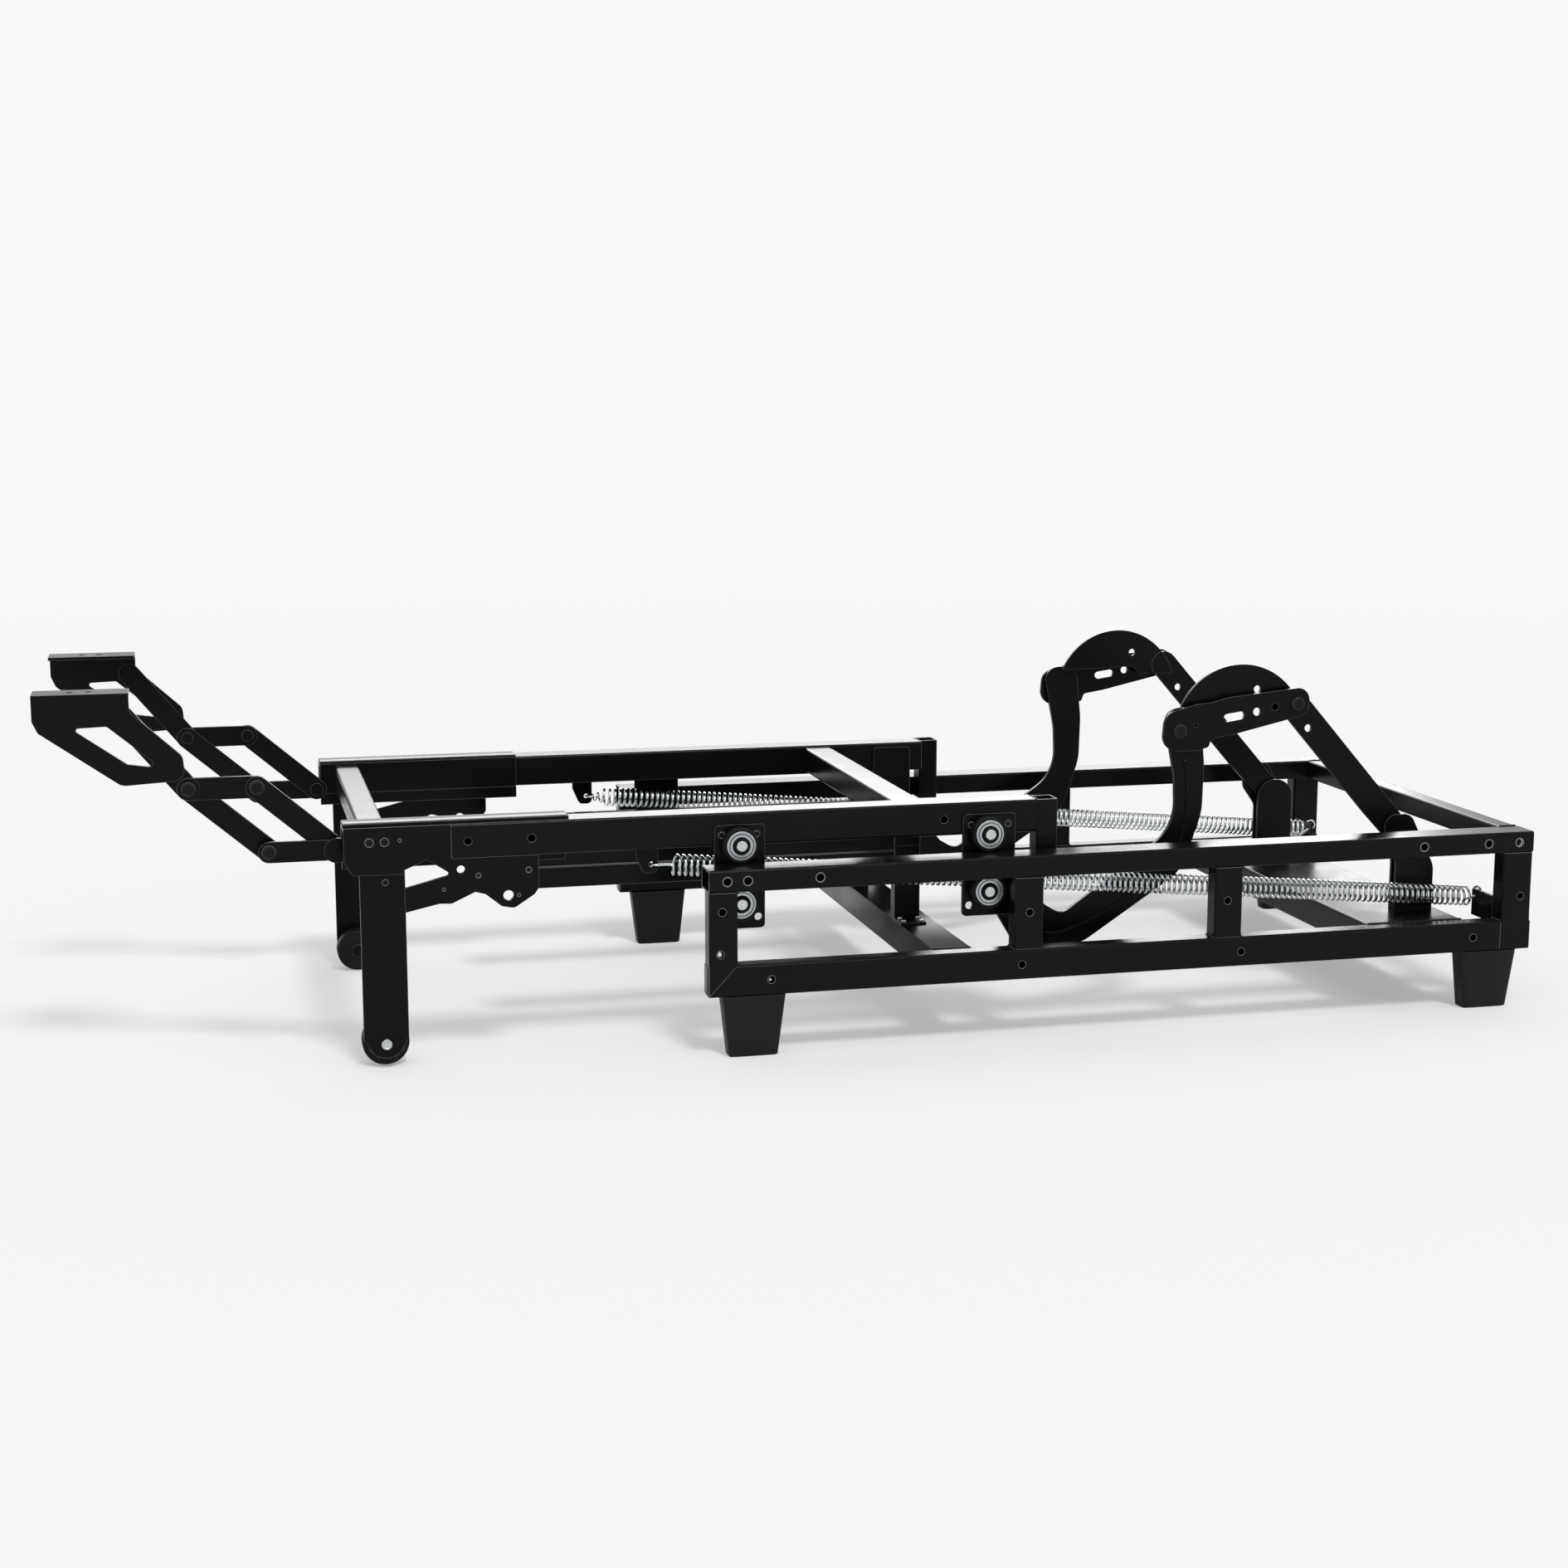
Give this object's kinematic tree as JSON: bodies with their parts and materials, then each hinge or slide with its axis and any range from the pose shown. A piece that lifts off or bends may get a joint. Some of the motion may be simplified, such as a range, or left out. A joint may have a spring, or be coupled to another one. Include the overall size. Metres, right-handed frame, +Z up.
{
  "type": "recliner mechanism",
  "caption": "Steel recliner mechanism: a tube base on feet, a seat frame sliding on rollers, folding footrest links, curved back arms and long springs.",
  "frame": {"origin": "middle of the whole as pictured, seen from above, at the height of the soles of the feet", "axes": "+X to the side that faces the camera, +Y towards the backrest, +Z up; the footrest is at -Y"},
  "size_m": [0.475, 1.3636, 0.332],
  "materials": {
    "black_steel": "satin black powder coat",
    "zinc_steel": "bright zinc plate",
    "black_plastic": "moulded black"
  },
  "bodies": {
    "base": {"upper_rail_right": "black_steel", "upper_rail_left": "black_steel", "lower_rail_right": "black_steel", "lower_rail_left": "black_steel", "frame_posts_right": "black_steel", "frame_posts_left": "black_steel", "front_cross_member": "black_steel", "rear_cross_member": "black_steel", "rear_top_rail": "black_steel", "feet": "black_plastic", "drive_posts": "black_steel", "drive_bars": "black_steel", "strut_brackets": "black_steel", "rear_spring_tabs": "black_steel", "spring_right": "zinc_steel", "spring_left": "zinc_steel"},
    "seat_frame": {"seat_rail_right": "black_steel", "seat_rail_left": "black_steel", "seat_uprights": "black_steel", "front_seat_tube": "black_steel", "rear_seat_tube": "black_steel", "side_plate_right": "black_steel", "side_plate_left": "black_steel", "inner_plates": "black_steel", "front_leg_right": "black_steel", "front_leg_left": "black_steel", "spring_hook_tabs": "black_steel", "front_roller_plates": "black_steel", "rear_roller_plates": "black_steel", "back_arm_right": "black_steel", "back_arm_left": "black_steel"},
    "leg_wheel_right": {"leg_wheel_right": "black_plastic"},
    "front_upper_roller_right": {"front_upper_roller_right": "zinc_steel"},
    "front_lower_roller_right": {"front_lower_roller_right": "zinc_steel"},
    "rear_upper_roller_right": {"rear_upper_roller_right": "zinc_steel"},
    "rear_lower_roller_right": {"rear_lower_roller_right": "zinc_steel"},
    "back_bracket_right": {"back_bracket_right": "black_steel"},
    "back_strut_right": {"back_strut_right": "black_steel"},
    "lower_link_right": {"lower_link_right": "black_steel"},
    "upper_link_right": {"upper_link_right": "black_steel"},
    "long_link_right": {"long_link_right": "black_steel"},
    "footrest_arm_right": {"front_link_right": "black_steel", "footrest_bracket_right": "black_steel"},
    "leg_wheel_left": {"leg_wheel_left": "black_plastic"},
    "front_upper_roller_left": {"front_upper_roller_left": "zinc_steel"},
    "front_lower_roller_left": {"front_lower_roller_left": "zinc_steel"},
    "rear_upper_roller_left": {"rear_upper_roller_left": "zinc_steel"},
    "rear_lower_roller_left": {"rear_lower_roller_left": "zinc_steel"},
    "back_bracket_left": {"back_bracket_left": "black_steel"},
    "back_strut_left": {"back_strut_left": "black_steel"},
    "lower_link_left": {"lower_link_left": "black_steel"},
    "upper_link_left": {"upper_link_left": "black_steel"},
    "long_link_left": {"long_link_left": "black_steel"},
    "footrest_arm_left": {"front_link_left": "black_steel", "footrest_bracket_left": "black_steel"}
  },
  "joints": [
    {"name": "seat_slide", "type": "slide", "parent": "base", "child": "seat_frame", "axis": [0, 1, 0], "range_m": [0, 0.1], "deforming": ["spring_right", "spring_left"]},
    {"name": "leg_wheel_spin_right", "type": "hinge", "parent": "seat_frame", "child": "leg_wheel_right", "pos_m": [0.177, -0.39675, 0.021], "axis": [1, 0, 0], "continuous": true},
    {"name": "front_upper_roller_spin_right", "type": "hinge", "parent": "seat_frame", "child": "front_upper_roller_right", "pos_m": [0.207, -0.08325, 0.1863], "axis": [1, 0, 0], "continuous": true},
    {"name": "front_lower_roller_spin_right", "type": "hinge", "parent": "seat_frame", "child": "front_lower_roller_right", "pos_m": [0.207, -0.08325, 0.1337], "axis": [1, 0, 0], "continuous": true},
    {"name": "rear_upper_roller_spin_right", "type": "hinge", "parent": "seat_frame", "child": "rear_upper_roller_right", "pos_m": [0.207, 0.14775, 0.1863], "axis": [1, 0, 0], "continuous": true},
    {"name": "rear_lower_roller_spin_right", "type": "hinge", "parent": "seat_frame", "child": "rear_lower_roller_right", "pos_m": [0.207, 0.14775, 0.1337], "axis": [1, 0, 0], "continuous": true},
    {"name": "back_bracket_tilt_right", "type": "hinge", "parent": "seat_frame", "child": "back_bracket_right", "pos_m": [0.169, 0.34675, 0.268], "axis": [1, 0, 0], "range_deg": [0, 22.5]},
    {"name": "back_strut_swing_right", "type": "hinge", "parent": "back_bracket_right", "child": "back_strut_right", "pos_m": [0.164, 0.46575, 0.29], "axis": [1, 0, 0], "range_deg": [-49.5, 0]},
    {"name": "footrest_fold_right", "type": "hinge", "parent": "seat_frame", "child": "lower_link_right", "pos_m": [0.162, -0.43325, 0.19], "axis": [1, 0, 0], "range_deg": [0, 90]},
    {"name": "upper_link_turn_right", "type": "hinge", "parent": "seat_frame", "child": "upper_link_right", "pos_m": [0.1585, -0.43325, 0.19], "axis": [1, 0, 0], "range_deg": [-15.5, 0]},
    {"name": "long_link_turn_right", "type": "hinge", "parent": "lower_link_right", "child": "long_link_right", "pos_m": [0.1515, -0.49075, 0.19], "axis": [1, 0, 0], "range_deg": [-105.5, 0]},
    {"name": "footrest_arm_turn_right", "type": "hinge", "parent": "upper_link_right", "child": "footrest_arm_right", "pos_m": [0.155, -0.49875, 0.24695], "axis": [1, 0, 0], "range_deg": [0, 105.5]},
    {"name": "leg_wheel_spin_left", "type": "hinge", "parent": "seat_frame", "child": "leg_wheel_left", "pos_m": [-0.177, -0.39675, 0.021], "axis": [1, 0, 0], "continuous": true},
    {"name": "front_upper_roller_spin_left", "type": "hinge", "parent": "seat_frame", "child": "front_upper_roller_left", "pos_m": [-0.207, -0.08325, 0.1863], "axis": [1, 0, 0], "continuous": true},
    {"name": "front_lower_roller_spin_left", "type": "hinge", "parent": "seat_frame", "child": "front_lower_roller_left", "pos_m": [-0.207, -0.08325, 0.1337], "axis": [1, 0, 0], "continuous": true},
    {"name": "rear_upper_roller_spin_left", "type": "hinge", "parent": "seat_frame", "child": "rear_upper_roller_left", "pos_m": [-0.207, 0.14775, 0.1863], "axis": [1, 0, 0], "continuous": true},
    {"name": "rear_lower_roller_spin_left", "type": "hinge", "parent": "seat_frame", "child": "rear_lower_roller_left", "pos_m": [-0.207, 0.14775, 0.1337], "axis": [1, 0, 0], "continuous": true},
    {"name": "back_bracket_tilt_left", "type": "hinge", "parent": "seat_frame", "child": "back_bracket_left", "pos_m": [-0.169, 0.34675, 0.268], "axis": [1, 0, 0], "range_deg": [0, 22.5]},
    {"name": "back_strut_swing_left", "type": "hinge", "parent": "back_bracket_left", "child": "back_strut_left", "pos_m": [-0.164, 0.46575, 0.29], "axis": [1, 0, 0], "range_deg": [-49.5, 0]},
    {"name": "footrest_fold_left", "type": "hinge", "parent": "seat_frame", "child": "lower_link_left", "pos_m": [-0.162, -0.43325, 0.19], "axis": [1, 0, 0], "range_deg": [0, 90]},
    {"name": "upper_link_turn_left", "type": "hinge", "parent": "seat_frame", "child": "upper_link_left", "pos_m": [-0.1585, -0.43325, 0.19], "axis": [1, 0, 0], "range_deg": [-15.5, 0]},
    {"name": "long_link_turn_left", "type": "hinge", "parent": "lower_link_left", "child": "long_link_left", "pos_m": [-0.1515, -0.49075, 0.19], "axis": [1, 0, 0], "range_deg": [-105.5, 0]},
    {"name": "footrest_arm_turn_left", "type": "hinge", "parent": "upper_link_left", "child": "footrest_arm_left", "pos_m": [-0.155, -0.49875, 0.24695], "axis": [1, 0, 0], "range_deg": [0, 105.5]}
  ],
  "couplings": [
    {"joint": "back_bracket_tilt_right", "follows": "seat_slide", "rad_per_m": 3.9036},
    {"joint": "back_strut_swing_right", "follows": "seat_slide", "rad_per_m": -8.6258},
    {"joint": "upper_link_turn_right", "follows": "footrest_fold_right", "ratio": -0.16667},
    {"joint": "long_link_turn_right", "follows": "footrest_fold_right", "ratio": -1.1667},
    {"joint": "footrest_arm_turn_right", "follows": "footrest_fold_right", "ratio": 1.1667},
    {"joint": "back_bracket_tilt_left", "follows": "seat_slide", "rad_per_m": 3.9036},
    {"joint": "back_strut_swing_left", "follows": "seat_slide", "rad_per_m": -8.6258},
    {"joint": "upper_link_turn_left", "follows": "footrest_fold_left", "ratio": -0.16667},
    {"joint": "long_link_turn_left", "follows": "footrest_fold_left", "ratio": -1.1667},
    {"joint": "footrest_arm_turn_left", "follows": "footrest_fold_left", "ratio": 1.1667}
  ]
}
